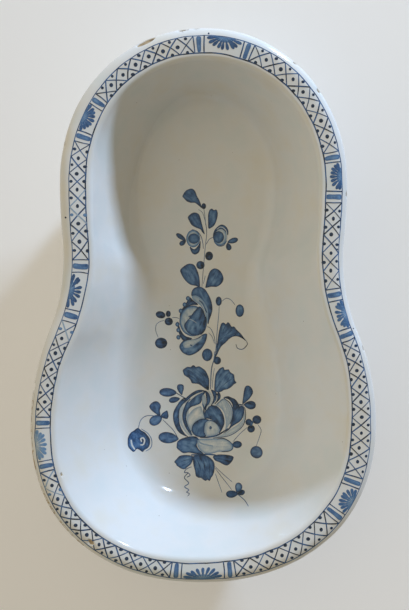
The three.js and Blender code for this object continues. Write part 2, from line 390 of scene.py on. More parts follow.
def inner_face():
    brim, facing = rim_ring(RIM_EDGE, BRIM_LEVEL, RIM_SLOPE)
    crest = rounding(CREST_INSET, CREST_LEVEL, CREST_RADIUS,
                     np.linspace(RIM_SLOPE, -LIP_DROOP, CREST_RINGS + 1))
    band = [(brim + (crest[0][0] - brim) * share, facing) for share in shares(BAND_RINGS)[:-1]]
    return floor_rings() + wall_rings() + band + crest


def lip(start, end, rings):
    return rounding(LIP_RADIUS, LIP_LEVEL, LIP_RADIUS, np.linspace(start, end, rings + 1))


INNER = inner_face()
LIP_INSIDE = lip(-LIP_DROOP, -math.pi / 2, LIP_RINGS // 2)[1:]
LIP_OUTSIDE = lip(-math.pi / 2, -LIP_DROOP - math.pi, LIP_RINGS)[:-1]


# %% Meshes from rings
MERGED, SMALLEST_EDGE = 0.02, 0.001    # points closer than the first become one
SWAY, SWAY_LENGTH = 0.9, 75    # how far the form sways at the lip, over what length
DENT, DENT_LENGTH = 0.22, 19


def mesh_from_rings(name, rings, joined):
    """Quads between rings of points, given in millimetres. Returns the new object."""
    count = len(rings)
    faces = []
    for j in range(count if joined else count - 1):
        a, b = j * STATIONS, (j + 1) % count * STATIONS
        for i in range(STATIONS):
            k = (i + 1) % STATIONS
            faces.append((a + i, a + k, b + k, b + i))
    mesh = bpy.data.meshes.new(name)
    mesh.from_pydata((np.vstack(rings) * MM).tolist(), [], faces)
    return new_object(name, mesh)


def tidy_mesh(piece):
    """Merge the points that coincide, turn all faces outwards and shade them smooth."""
    bm = bmesh.new()
    bm.from_mesh(piece.data)
    bmesh.ops.remove_doubles(bm, verts=bm.verts, dist=MERGED * MM)
    bmesh.ops.dissolve_degenerate(bm, edges=bm.edges, dist=SMALLEST_EDGE * MM)
    bmesh.ops.recalc_face_normals(bm, faces=bm.faces)
    if bm.calc_volume(signed=True) < 0:
        bmesh.ops.reverse_faces(bm, faces=bm.faces)
    for polygon in bm.faces:
        polygon.smooth = True
    open_edges = sum(not edge.is_manifold for edge in bm.edges)
    print(f"{piece.name}: {len(bm.verts)} points, {bm.calc_volume() * 1e6:.0f} cm3, {open_edges} open edges")
    bm.to_mesh(piece.data)
    bm.free()


def pressed(name, rings, joined=False):
    """A piece of the basin. Every point strays a little, more towards the lip, as in a form pressed and
    finished by hand."""
    piece = mesh_from_rings(name, rings, joined)
    tidy_mesh(piece)
    for corner in piece.data.vertices:
        spot = corner.co / MM
        shift = SWAY * noise.noise_vector(spot / SWAY_LENGTH) + DENT * noise.noise_vector(spot / DENT_LENGTH)
        corner.co += shift * (min(1, spot.z / HEIGHT) ** 2 * MM)
    return piece


def sunk(rings, depth):
    """The points of these rings, so far below the inner face."""
    return [points - facing * depth for points, facing in rings]


# %% The three pieces
noise.seed_set(SEED)    # without it, the vector noise of the form differs from run to run
FOOT_RINGS = 3    # the outer coat stops so many rings up from the edge of the floor
coated = INNER + LIP_INSIDE
outer = INNER[FLOOR_RINGS + FOOT_RINGS:][::-1]
foot = INNER[:FLOOR_RINGS + FOOT_RINGS + 1][::-1]
inside_coat = pressed("inside_coat", sunk(coated, 0) + sunk(coated[::-1], GLAZE))
outside_coat = pressed("outside_coat", sunk(LIP_OUTSIDE, 0) + sunk(outer, WALL)
                       + sunk(outer[::-1], WALL - GLAZE) + sunk(LIP_OUTSIDE[::-1], GLAZE), joined=True)
clay = pressed("clay", sunk(coated + LIP_OUTSIDE[1:], GLAZE) + sunk(outer, WALL - GLAZE) + sunk(foot, WALL))

# %% [markdown]
# ## Tin glaze and clay
#
# Tin glaze is a lead glass made opaque with tin ash. It is a bluish white, very smooth and glossy, but never
# flat: it was poured over an uneven clay, so its surface swims in shallow waves some 10 to 40 mm long, with
# a fine dimpling of 2 mm where it boiled in the kiln. It is cooler where it pooled and warmer where it ran
# thin. A little iron in the clay comes through as brown specks, and bubbles leave pinholes. The cobalt of the
# painting sank into the glaze, so paint and glaze are one material here, told apart by a "cobalt" value in
# the mesh.

# %% Tin glaze, with and without cobalt
GLAZE_POOLED, GLAZE_COLOUR, GLAZE_THIN = "#e5e9e7", "#ebebe8", "#ebe8df"
COBALT = [(0.0, GLAZE_COLOUR), (0.12, "#d3dadb"), (0.3, "#aabccb"), (0.52, "#749ac0"), (0.76, "#466c99"),
          (0.9, "#324c6f"), (1.0, "#242f3b")]
GRAIN = 0.3                                  # how far the pigment's grain spreads the cobalt
GLOSS, GLASS_IOR = 0.12, 1.55
SPECK_COLOUR = "#7a6450"
SPECK_CELL, SPECKED, SPECK_SIZE = 11, 0.16, 0.035    # in millimetres, and as shares of the cells and of one
WAVE_LENGTH, WAVE_DEPTH = 26, 0.14
DIMPLE_LENGTH, DIMPLE_DEPTH = 2.2, 0.008
PINHOLE_CELL, PINHOLE_SIZE, PINHOLE_DEPTH = 6, 0.05, 0.05

def pattern(material, kind, size_mm, settings=None):
    """A texture in object space, whose features are about so many millimetres wide."""
    place = add_node(material, "TexCoord")
    return add_node(material, kind, {"Scale": 1 / (size_mm * MM), **(settings or {})},
                    Vector=place.outputs["Object"])


def ramp(material, source, stops):
    """A colour ramp over `source`, from pairs of a place and a hex colour."""
    node = add_node(material, "ValToRGB", Fac=source)
    elements = node.color_ramp.elements
    while len(elements) < len(stops):
        elements.new(0.5)
    for element, (place, colour) in zip(elements, stops):
        element.position, element.color = place, linear(colour)
    return node.outputs["Color"]


def bump(material, height, depth, **under):
    """The normal of a surface that `height` raises by up to `depth` millimetres."""
    return add_node(material, "Bump", {"Strength": 1.0, "Distance": depth * MM}, Height=height,
                    **under).outputs["Normal"]


def glaze_colour(material):
    tone = pattern(material, "TexNoise", 45, {"Detail": 3.0, "Roughness": 0.55})
    tones = [(0.32, GLAZE_POOLED), (0.5, GLAZE_COLOUR), (0.68, GLAZE_THIN)]
    white = ramp(material, tone.outputs["Fac"], tones)
    cells = pattern(material, "TexVoronoi", SPECK_CELL)
    some = add_node(material, "SeparateColor", Color=cells.outputs["Color"])
    near = add_node(material, "Math", {"operation": "LESS_THAN", 1: SPECK_SIZE}, _0=cells.outputs["Distance"])
    chosen = add_node(material, "Math", {"operation": "LESS_THAN", 1: SPECKED}, _0=some.outputs["Red"])
    speck = add_node(material, "Math", {"operation": "MULTIPLY"}, _0=near.outputs[0], _1=chosen.outputs[0])
    return add_node(material, "Mix", {"data_type": "RGBA", 7: linear(SPECK_COLOUR)}, _0=speck.outputs[0],
                    _6=white).outputs[2]


def glaze_bump(material):
    waves = pattern(material, "TexNoise", WAVE_LENGTH, {"Detail": 2.0})
    swell = bump(material, waves.outputs["Fac"], WAVE_DEPTH)
    dimples = pattern(material, "TexNoise", DIMPLE_LENGTH, {"Detail": 1.0})
    skin = bump(material, dimples.outputs["Fac"], DIMPLE_DEPTH, Normal=swell)
    pinholes = pattern(material, "TexVoronoi", PINHOLE_CELL)
    level = add_node(material, "MapRange", {"From Max": PINHOLE_SIZE, "To Min": 0.0, "To Max": 1.0},
                     Value=pinholes.outputs["Distance"])
    return bump(material, level.outputs["Result"], PINHOLE_DEPTH, Normal=skin)


def make_glaze(name, painted):
    material = new_material(name)
    colour = glaze_colour(material)
    if painted:
        load = add_node(material, "Attribute", {"attribute_name": "cobalt"})
        grain = pattern(material, "TexNoise", 1.6, {"Detail": 3.0, "Roughness": 0.7})
        uneven = add_node(material, "Math", {"operation": "MULTIPLY_ADD", 1: GRAIN, 2: -GRAIN / 2},
                          _0=grain.outputs["Fac"])
        amount = add_node(material, "Math", {"operation": "ADD", "use_clamp": True},
                          _0=load.outputs["Fac"], _1=uneven.outputs[0])
        colour = ramp(material, amount.outputs[0], COBALT)
    shader = add_node(material, "BsdfPrincipled", {"Roughness": GLOSS, "IOR": GLASS_IOR},
                      Base_Color=colour, Normal=glaze_bump(material))
    add_node(material, "OutputMaterial", Surface=shader.outputs["BSDF"])
    return material


tin_glaze = make_glaze("tin_glaze", painted=False)
cobalt_in_glaze = make_glaze("cobalt_under_tin_glaze", painted=True)

# %% [markdown]
# The clay is a soft buff earthenware, fired to about 1000 degrees. It stays porous and matt, and where a chip
# has been open for two hundred years it is grey brown with dirt.

# %% Fired clay
CLAY_COLOURS = [(0.3, "#9a876d"), (0.5, "#bda888"), (0.7, "#d0bfa2")]
SAND_SIZE, SAND_DEPTH = 0.9, 0.12


def make_clay():
    material = new_material("fired_buff_earthenware")
    body = pattern(material, "TexNoise", 7, {"Detail": 6.0, "Roughness": 0.65})
    sand = pattern(material, "TexNoise", SAND_SIZE, {"Detail": 2.0})
    shader = add_node(material, "BsdfPrincipled", {"Roughness": 0.92, "Specular IOR Level": 0.3},
                      Base_Color=ramp(material, body.outputs["Fac"], CLAY_COLOURS),
                      Normal=bump(material, sand.outputs["Fac"], SAND_DEPTH))
    add_node(material, "OutputMaterial", Surface=shader.outputs["BSDF"])
    return material


fired_clay = make_clay()
for piece, material, node, slot in ((inside_coat, tin_glaze, "inside_glaze", "white_glaze"),
                                    (outside_coat, tin_glaze, "outside_glaze", "white_glaze"),
                                    (clay, fired_clay, "clay_body", "fired_clay")):
    piece.data.materials.append(material)
    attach(piece, "root")
    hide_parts(node)

# %% [markdown]
# ## Brush strokes
#
# The painter laid cobalt on the raw glaze with two brushes: a long thin one for lines and a full one for
# petals and leaves. A stroke of the full brush is a pale wash whose pigment gathered at its edge as it dried.
# A texture could hold this, but here each stroke is a thin sheet of its own that lies on the glaze, so the
# painting needs no image and stays sharp from close by. A stroke is drawn flat, in millimetres, filled with
# triangles, and each of its points gets an amount of cobalt. Where strokes cross, the later one lies higher.

# %% Curves and fills
FIRST_SHEET, SHEET = 0.06, 0.015    # height of the lowest stroke over the glaze, and of one over another
FILL_SIZE = 1.1          # distance between the points inside a wash
TOUCHING = 1             # strokes closer than this lie over each other
FULL_WASH = 0.4          # a wash with more cobalt than this comes from a full brush,
STRONGER = 0.04          # which carries so much more of it than meant,
FULL_EDGE = 0.96         # and leaves so much at the edge
PALE_EDGE = 0.3          # how much more of it the edge of a pale wash has than the wash
PALE_STREAKS = 0.6       # how strong the streaks of a pale wash are beside those of a full one
UNEVEN = 0.04            # how far one wash differs from the next
POOL, WIDE_POOL = 1.5, 3.2    # the edge is darkest over the first way in, and pales over the second
POOL_SHARE = 0.65        # of the darkening, how much lies in the first
DEEPER, DEEP_SIZE = 0.14, 5    # how much darker a wash is where it is deepest, and how far round that place
FINE_STREAKS, BROAD_STREAKS = (0.2, 9, 1.3), (0.3, 6, 3.5)    # how strong, how long and how wide
LEAF_STEPS = np.array([0.1, 0.28, 0.46, 0.64, 0.8, 0.92, 0.985])    # where its outline has points
DAB_POINTS = 8
strokes = {}
laid = []


def smooth(points, closed, spacing=0.7):
    """A smooth curve through a few points, as a dense row of points."""
    points = np.array(points, dtype=float)
    count = len(points)
    last = count if closed else count - 1
    curve = []
    for i in range(last):
        near = [(i + k) % count if closed else min(max(i + k, 0), count - 1) for k in (-1, 0, 1, 2)]
        a, b, c, d = points[near]
        steps = max(2, math.ceil(np.linalg.norm(c - b) / spacing))
        t = (np.arange(steps) / steps)[:, None]
        curve.append(0.5 * (2 * b + (c - a) * t + (2 * a - 5 * b + 4 * c - d) * t ** 2
                            + (3 * b - a - 3 * c + d) * t ** 3))
    if not closed:
        curve.append(points[-1:])
    return np.vstack(curve)


def filled(edge):
    """Triangles that fill a closed curve, with points inside it."""
    low, high = edge.min(0), edge.max(0)
    x, y = np.meshgrid(np.arange(low[0], high[0], FILL_SIZE), np.arange(low[1], high[1], FILL_SIZE))
    x[1::2] += FILL_SIZE / 2
    grid = np.column_stack([x.ravel(), y.ravel()])
    grid = grid[(distance_to(grid, edge) > FILL_SIZE * 0.5) & is_inside(grid, edge)]
    points = [Vector(p) for p in np.vstack([edge, grid])]
    result = delaunay_2d_cdt(points, [], [list(range(len(edge)))], 1, 1e-5, False)
    spots, faces = np.array(result[0]), np.array(result[2])
    return spots, faces[is_inside(spots[faces].mean(1), edge)]


def is_inside(points, edge):
    """Whether a line from each point to the right crosses the closed curve an odd number of times."""
    x, y = points[:, :1], points[:, 1:]
    (ax, ay), (bx, by) = edge.T, np.roll(edge, -1, 0).T
    rise = np.where(ay == by, 1, by - ay)
    crosses = ((y < ay) != (y < by)) & (x < ax + (y - ay) * (bx - ax) / rise)
    return crosses.sum(1) % 2 == 1


def distance_to(points, edge):
    if len(points) == 0:
        return np.zeros(0)
    return np.sqrt(((points[:, None, :] - edge[None, :, :]) ** 2).sum(2)).min(1)


def touch(one, other):
    """Whether one closed curve lies in the other, or they come close."""
    return (distance_to(one, other).min() < TOUCHING or is_inside(one[:1], other)[0]
            or is_inside(other[:1], one)[0])


def lay(group, rim, points, faces, cobalt):
    """Keep a stroke, above every earlier one that it crosses."""
    low, high = rim.min(0), rim.max(0)
    under = [level for below, above, shape, level in laid
             if (low < above).all() and (high > below).all() and touch(rim, shape)]
    level = 1 + max(under, default=-1)
    laid.append((low, high, rim, level))
    strokes.setdefault(group, []).append((points, faces, np.clip(cobalt, 0, 1), FIRST_SHEET + SHEET * level))


def streaks(spots, seed):
    """Light and dark streaks that a brush leaves along the longer way of a shape."""
    centred = spots - spots.mean(0)
    longer = np.linalg.svd(centred, full_matrices=False)[2][0]
    along, aside = centred @ longer, centred @ [-longer[1], longer[0]]
    cobalt = np.zeros(len(spots))
    for strength, length, width in (FINE_STREAKS, BROAD_STREAKS):
        cobalt += [strength * noise.noise((a / length, b / width, seed)) for a, b in zip(along, aside)]
        seed += 9
    return cobalt


def patch(group, points, wash, edge=None, deep=None, fade=None):
    """A wash inside a closed curve. `edge` is the cobalt of its outline, it is darkest at `deep`, and `fade`
    gives where it starts to change, where that ends, and the cobalt it has there."""
    rim = smooth(points, closed=True)
    spots, faces = filled(rim)
    full = wash > FULL_WASH
    if edge is None:
        edge = FULL_EDGE if full else wash + PALE_EDGE
    cobalt = np.full(len(spots), wash + (STRONGER if full else 0) + shaky(UNEVEN))
    if fade is not None:
        start, end = np.array(fade[0]), np.array(fade[1])
        share = np.clip((spots - start) @ (end - start) / ((end - start) @ (end - start)), 0, 1)
        cobalt += (fade[2] - wash) * share * share * (3 - 2 * share)
    cobalt += streaks(spots, len(laid)) * (1 if full else PALE_STREAKS)
    if deep is not None:
        cobalt += DEEPER * np.exp(-(np.linalg.norm(spots - np.array(deep), axis=1) / DEEP_SIZE) ** 2)
    depth = distance_to(spots, rim)
    cobalt += (edge - cobalt) * (POOL_SHARE * np.exp(-(depth / POOL) ** 2)
                                 + (1 - POOL_SHARE) * np.exp(-depth / WIDE_POOL))
    lay(group, rim, spots, faces, cobalt)


def leaf(group, base, tip, width, wash, edge=None, fullest=0.6, at_tip=None):
    """One press of the brush: pointed at its base, round towards its tip, with the cobalt `at_tip` there."""
    base, tip = np.array(base, dtype=float), np.array(tip, dtype=float)
    along = tip - base
    aside = np.array([-along[1], along[0]]) / np.linalg.norm(along)
    sharp = 0.5 * fullest / (1 - fullest)
    swell = LEAF_STEPS ** sharp * (1 - LEAF_STEPS) ** 0.5
    half = width / 2 * swell / (fullest ** sharp * (1 - fullest) ** 0.5)
    one = [base + along * s + aside * h for s, h in zip(LEAF_STEPS, half)]
    other = [base + along * s - aside * h for s, h in zip(LEAF_STEPS, half)]
    fade = None if at_tip is None else (base, tip, at_tip)
    patch(group, [base] + one + [tip] + other[::-1], wash, edge, fade=fade)


def berry(group, at, across, tall=None, wash=0.84, edge=None, turn=0):
    """A round dab, `across` and `tall` from its middle to its edge, turned by so many degrees."""
    angle = np.linspace(0, 2 * math.pi, DAB_POINTS + 1)[:-1]
    x, y = across * np.cos(angle), (tall or across) * np.sin(angle)
    tilt = math.radians(turn)
    points = np.column_stack([at[0] + x * math.cos(tilt) - y * math.sin(tilt),
                              at[1] + x * math.sin(tilt) + y * math.cos(tilt)])
    patch(group, points, wash, edge)


def line(group, points, width, strength, taper=0.35):
    """A line of the thin brush, which thins out towards both ends by `taper`, and pales and darkens a little
    on its way."""
    middle = smooth(points, closed=False, spacing=1.0)
    step = np.gradient(middle, axis=0)
    aside = np.column_stack([-step[:, 1], step[:, 0]]) / np.linalg.norm(step, axis=1)[:, None]
    share = np.linspace(0, 1, len(middle))
    half = width / 2 * (1 - taper * np.abs(2 * share - 1) ** 3)[:, None]
    one, other = middle - aside * half, middle + aside * half
    count = len(middle)
    faces = [(i, i + 1, count + i + 1, count + i) for i in range(count - 1)]
    cobalt = strength * (0.94 + 0.1 * np.cos(np.tile(share, 2) * 9 + middle[0, 0]))
    lay(group, np.vstack([one, other[::-1]]), np.vstack([one, other]), faces, cobalt)


# %% [markdown]
# ## The painted border
#
# The band of the rim has a border of crossing lines with a dot in every lozenge and a half dot against each
# edge. Eight panels interrupt it, each with half a shell of graded strokes between two ribbed bars. It is
# drawn straight, along the lip and inwards from it, and bent round by one function. The painter worked by
# eye, so the lines keep their distance from the lip only roughly. In four places the border is rubbed thin.

# %% Along the lip
# the outer line of the border: how far along the lip, and how far inside it
OUTER_LINE = [(0, 4), (150, 5), (250, 6), (400, 5.5), (590, 6.5), (714, 8), (790, 9), (930, 9.5), (1050, 8),
              (1180, 4.5), (1300, 4.5)]
WANDER, WANDER_LENGTH = 0.5, 14


def painted_edge(knots, along):
    """How far inside the lip one line of the border runs, with the small wander of the painter's hand."""
    wander = [WANDER * noise.noise((a / WANDER_LENGTH, knots[0][1], 0)) for a in np.atleast_1d(along)]
    return np.interp(along, *zip(*knots), period=AROUND) + np.squeeze(wander)


def on_rim(along, inset):
    """A place in plan, from how far it is along the lip and inside it."""
    along = np.mod(np.asarray(along, dtype=float), AROUND)
    at, to = [np.stack([np.interp(along, LIP_ALONG, np.append(each, each[0])) for each in plan.T], axis=-1)
              for plan in (LIP_OUTLINE, INWARDS)]
    return at + to * np.asarray(inset, dtype=float)[..., None]


def in_band(along, share):
    """A place in the border, `share` of the way from its outer line to its inner one."""
    along, share = np.broadcast_arrays(np.asarray(along, dtype=float), np.asarray(share, dtype=float))
    outer, inner = painted_edge(OUTER_LINE, along), painted_edge(INNER_LINE, along)
    return on_rim(along, outer + (inner - outer) * share)


# %% Border lines, lozenges, bars and palmettes
# how far along the lip the middle of a panel is, and half its length
PANELS = [(-2, 27), (174, 20), (368, 19), (498, 20), (694, 26), (869, 20), (1037, 22), (1190, 22)]
RUBBED = [(947, 966), (1064, 1080), (1180, 1200), (1222, 1234)]    # from where to where along the lip
RUBBED_SHARE = 0.4                               # of the paint, how much is left there
# drops that fell beside the border: how far along the lip and inside it, and their size
DRIPS = [(970, 5, 0.9), (710, 6, 0.9), (428, 7, 0.8), (352, 3.5, 0.6)]
EDGE_LINES = [(0, 0.9, 0.84), (1, 1.2, 0.93)]    # which edge of the band, the line's width and its cobalt
EDGE_PARTS, PART_LENGTH = 48, 1.04               # a line is painted in parts, each a little over its share
LOZENGE = 16.6
TRELLIS_WIDTH, TRELLIS_COBALT = 1.1, 0.93
BAR_WIDTH = 11
BAR_WASH = [(-2.2, 0.1), (-2.3, 0.5), (-2.0, 0.9), (0, 0.95), (2.0, 0.9), (2.3, 0.5), (2.2, 0.1), (0, 0.04)]
SHELL_SHARE = 0.66       # of half a panel, how far its shell reaches
FINGER, TIP_COBALT = 3.1, 0.84
hand = random.Random(SEED)


def shaky(size):
    return hand.uniform(-size, size)


def fresh(along):
    """How much of the paint is left."""
    return RUBBED_SHARE if any(start < along % AROUND < end for start, end in RUBBED) else 1.0


def odd_last(items):
    """Every other item, and then those between, as a painter fills in."""
    return [*items[::2], *items[1::2]]


def paint_edge_lines():
    for share, width, strength in EDGE_LINES:
        for part in odd_last(range(EDGE_PARTS)):
            along = np.linspace(part, part + PART_LENGTH, 8) * AROUND / EDGE_PARTS
            line("border_edge_lines", in_band(along, share), width + shaky(0.15),
                 (strength + shaky(0.05)) * fresh(along[4]), taper=0.05)


def paint_lozenges(start, end):
    count = round((end - start) / LOZENGE)
    pitch = (end - start) / count
    for lean in (-1, 1):
        for k in range(count + 1):
            at = start + k * pitch
            far = min(max(at + lean * pitch, start), end)
            reach = abs(far - at) / pitch
            if reach < 0.1:
                continue
            bow = in_band([at, (at + far) / 2 + shaky(0.7), far + shaky(0.4)], [0, reach / 2, reach])
            width = TRELLIS_WIDTH + shaky(0.25)
            line("border_trellis", bow, width, (TRELLIS_COBALT + shaky(0.08)) * fresh(at), taper=0.1)
    for k in range(count):
        at, between = start + k * pitch, start + (k + 0.5) * pitch
        if k > 0:
            middle = in_band(at + shaky(0.8), 0.5 + shaky(0.05))
            berry("border_dots", middle, 1.7 + shaky(0.3), 1.9 + shaky(0.2), 0.92)
        upper = in_band(between + shaky(0.7), 0.13)
        berry("border_dots", upper, 1.5 + shaky(0.3), 1.4, 0.85 * fresh(at))
        lower = in_band(between + shaky(0.7), 0.93)
        berry("border_dots", lower, 1.8 + shaky(0.3), 1.6 + shaky(0.2), 0.92 * fresh(at))


def paint_bar(middle):
    """Two ribs across the band, with a pale wash between them."""
    for side in (-1, 1):
        rib = in_band([middle + side * BAR_WIDTH / 2 + shaky(0.5) for _ in range(3)], [0, 0.5, 1])
        line("border_bars", rib, 1.1 + shaky(0.2), 0.92 * fresh(middle), taper=0.1)
    form = in_band([middle + x + shaky(0.3) for x, _ in BAR_WASH], [y for _, y in BAR_WASH])
    patch("border_bars", form, 0.5 + shaky(0.07), 0.72, fade=(*in_band([middle, middle], [0, 1]), 0.7))


def paint_palmette(middle, reach):
    """Half a shell on the outer line: a blue fan, and fingers that spread from it and end in dark tips."""
    turn = np.radians(np.linspace(-90, 90, 9))
    wash = (0.44 + shaky(0.1)) * fresh(middle)
    fan = in_band(middle + 0.6 * reach * np.sin(turn), 0.02 + 0.32 * np.cos(turn))
    patch("border_palmettes", fan, wash - 0.06, wash + 0.16)
    for angle in odd_last(np.radians(np.linspace(-82, 82, 9))):
        angle += shaky(0.05)
        tip = (1.04 + shaky(0.06)) * reach * math.sin(angle), 0.1 + 0.66 * math.cos(angle) + shaky(0.04)
        start, end = in_band(middle + np.array([0.15 * tip[0], tip[0]]), [0.04, tip[1]])
        leaf("border_palmettes", start, end, FINGER, wash, wash + 0.3, fullest=0.8, at_tip=TIP_COBALT)


paint_edge_lines()
first_again = [(PANELS[0][0] + AROUND, PANELS[0][1])]
for (before, half_before), (after, half_after) in zip(PANELS, PANELS[1:] + first_again):
    paint_lozenges(before + half_before + BAR_WIDTH / 2, after - half_after - BAR_WIDTH / 2)
for middle, half in PANELS:
    paint_bar(middle - half)
    paint_bar(middle + half)
    paint_palmette(middle, SHELL_SHARE * half)
for along, inset, size in DRIPS:
    berry("border_dots", on_rim(along, inset), size, wash=0.85)
print(f"border of {sum(len(group) for group in strokes.values())} strokes")

# %% [markdown]
# ## The spray of flowers
#
# The painter started with the large rose and let a thin stem climb from it through a peony and two buds to
# the single leaf at the top. Every leaf is a pale wash with the streaks of the brush in it, and a fine dark
# line round it. Places are millimetres on the floor, from the middle of the basin, +Y towards the narrow end.

# %% The upper spray
group = "spray_stems"
line(group, [
    (-2, 98.5), (2, 95.5), (4.5, 88.5), (6, 81), (6.5, 73.5), (5.5, 64), (4.5, 54.5), (3.5, 42), (2.5, 31),
    (1.5, 18.5)],
    0.6, 0.9)
line(group, [(3.5, 99.5), (4.5, 93), (5.5, 82.5)], 0.5, 0.85)
line(group, [(6, 62.5), (9, 67.5), (13.5, 70)], 0.6, 0.9)
line(group, [(5, 30), (3, 21.5)], 0.5, 0.85)

group = "spray_leaves"
patch(group, [
    (-18.5, 112.5), (-15.5, 117.5), (-12, 119.5), (-8.5, 120), (-5.5, 117.5), (-3.5, 112.5), (-1, 108),
    (0.5, 104), (1.5, 100), (-0.5, 101.5), (-3.5, 104), (-6, 105.5), (-10, 105.5), (-14, 107), (-17, 110)],
    0.66)
patch(group, [
    (-13, 90.5), (-10, 94), (-6, 95.5), (-2, 94), (0, 90), (1.5, 84), (3, 78.5), (4.5, 73), (2, 75), (0, 78),
    (-5, 80), (-9, 82.5), (-11.5, 86.5)], 0.68)
patch(group, [
    (8.5, 79), (8, 85.5), (8, 93), (9.5, 98), (12, 99.5), (14, 98), (16.5, 98.5), (18, 95), (17.5, 90),
    (15.5, 84), (12.5, 80.5)], 0.62, deep=(9, 81.5))
patch(group, [
    (-21, 36), (-17, 40), (-12, 42.5), (-7, 41.5), (-4, 37), (-1.5, 30), (-0.5, 21.5), (-1, 18), (-5, 19.5),
    (-11, 21), (-16.5, 26), (-20, 32)], 0.65)
patch(group, [
    (5.5, 17.5), (5.5, 20), (7.5, 28.5), (10, 34.5), (14, 37.5), (18.5, 36.5), (22, 33), (24, 27), (22, 22),
    (17, 18.5), (11.5, 18.5)], 0.66)
leaf(group, (-15, 66.5), (-25, 73.5), 4.8, 0.72)
leaf(group, (-15, 66.5), (-21.5, 62), 5, 0.72)
leaf(group, (28, 64.5), (39, 68), 5.6, 0.55)
leaf(group, (28, 64), (30.5, 56.5), 5.6, 0.78)

group = "spray_berries"
berry(group, (3.5, 102), 2.4, 3.1, wash=0.85)
berry(group, (9, 50.5), 4.1, 4.6)
berry(group, (0, 41), 4.3, 4.3)

# %% The two buds
group = "spray_flowers"
berry(group, (-7.5, 68.5), 7.2, 9.1, wash=0.12, edge=0.8)
berry(group, (-7, 68.5), 5.7, 5.4, wash=0.56, edge=0.92)
patch(group, [
    (-11, 60), (-6.5, 57.5), (-2.5, 61), (0, 66), (0, 60), (-1.5, 54.5), (-5.5, 52), (-9, 54)], 0.66)
line(group, [(-9, 78), (-3.5, 76), (0.5, 71), (2.5, 64), (3, 58)], 0.7, 0.9)
berry(group, (20.5, 71), 7.5, 9.9, wash=0.14, edge=0.8)
berry(group, (19, 70), 5.5, 6.2, wash=0.64, edge=0.92)
patch(group, [
    (13, 70), (14.5, 76.5), (17.5, 80.5), (22, 83), (26.5, 81), (29, 76.5), (28.5, 72), (26.5, 75), (23, 78),
    (19, 78), (16, 75)], 0.56)
line(group, [(17, 78), (21.5, 80.5), (26.5, 77), (27.5, 71), (26.5, 65.5)], 0.7, 0.12)
line(group, [(14, 65.5), (18.5, 61), (24, 61.5), (27.5, 66.5)], 0.8, 0.9)

# %% The peony, seen from the side
patch(group, [
    (-9.5, 9.5), (-8.5, 15), (-5, 18), (0, 18.5), (4.5, 16), (8, 11), (11, 4.5), (12.5, -3.5), (11.5, -10),
    (9.5, -15.5), (8, -20.5), (6.5, -13.5), (4.5, -5.5), (-0.5, 4), (-6, 8.5)],
    0.6, fade=((-6, 15.5), (10.5, -5.5), 0.74))
patch(group, [
    (-9, 8.5), (-5, 9.5), (0, 7), (4, 2.5), (7, -3), (8, -9), (7.5, -20), (6, -13.5), (3.5, -6.5), (0, -1),
    (-4.5, 2.5), (-7.5, 5)], 0.16, edge=0.5)
line(group, [(-1.5, 4.5), (2, 1.5), (4.5, -3.5), (6.5, -8.5)], 1.5, 0.82)
line(group, [(1, 0.5), (3.5, -4), (5, -9)], 0.5, 0.1)
patch(group, [
    (-11.5, 7.5), (-7.5, 4.5), (-2.5, 0), (-8, -0.5), (-12, -2), (-15.5, -5), (-19, -9), (-21.5, -13.5),
    (-21, -8), (-18.5, -3.5), (-15, 1.5)], 0.8)
patch(group, [
    (-23.5, -17.5), (-22, -22.5), (-20, -27.5), (-16, -32.5), (-9, -35), (-11, -37), (-17, -38),
    (-20.5, -34.5), (-23, -28), (-24, -22)], 0.8)
for curl in ((-13, 6.5), (-16.5, 0), (-20.5, -6.5), (-24, -20.5), (-23, -26.5), (-23, -34)):
    berry(group, curl, 2.2, 2.4, wash=0.2, edge=0.95)
berry(group, (-8, -17), 13.9, 16, wash=0.15, edge=0.9)
patch(group, [
    (-1, -2), (3, -6), (5, -12.5), (5.5, -21), (3, -27.5), (-2, -32), (-9.5, -31.5), (-15, -27), (-17, -21.5),
    (-14, -16.5), (-9.5, -11), (-6, -6.5)], 0.5, fade=((-14, -18), (5.5, -18), 0.74))
line(group, [(-14, -14.5), (-9, -16), (-3.5, -19.5)], 0.6, 0.25)
line(group, [(-12.5, -12.5), (-9, -11.5)], 1.4, 0.88)
line(group, [(5.5, -12.5), (6, -20), (4, -27), (0, -31.5)], 1.3, 0.95)
patch(group, [
    (-22, -43), (-19.5, -39), (-15.5, -36.5), (-10.5, -36.5), (-5, -35.5), (0, -33), (2.5, -31), (6.5, -30.5),
    (6.5, -35), (4.5, -40.5), (0.5, -46.5), (-5.5, -51), (-12, -53), (-18, -50.5), (-21, -47)],
    0.6, fade=((-13, -47), (5.5, -34.5), 0.7))
patch(group, [
    (-18, -40.5), (-14, -37.5), (-8, -36.5), (-2.5, -35.5), (2, -32.5), (0.5, -36.5), (-4.5, -40.5),
    (-10.5, -44.5), (-16.5, -45)], 0.12, edge=0.36)
line(group, [(-11, -42), (-8.5, -43)], 1.5, 0.85)
line(group, [(-11.5, -34), (-5.5, -34), (1, -32)], 1, 0.1)

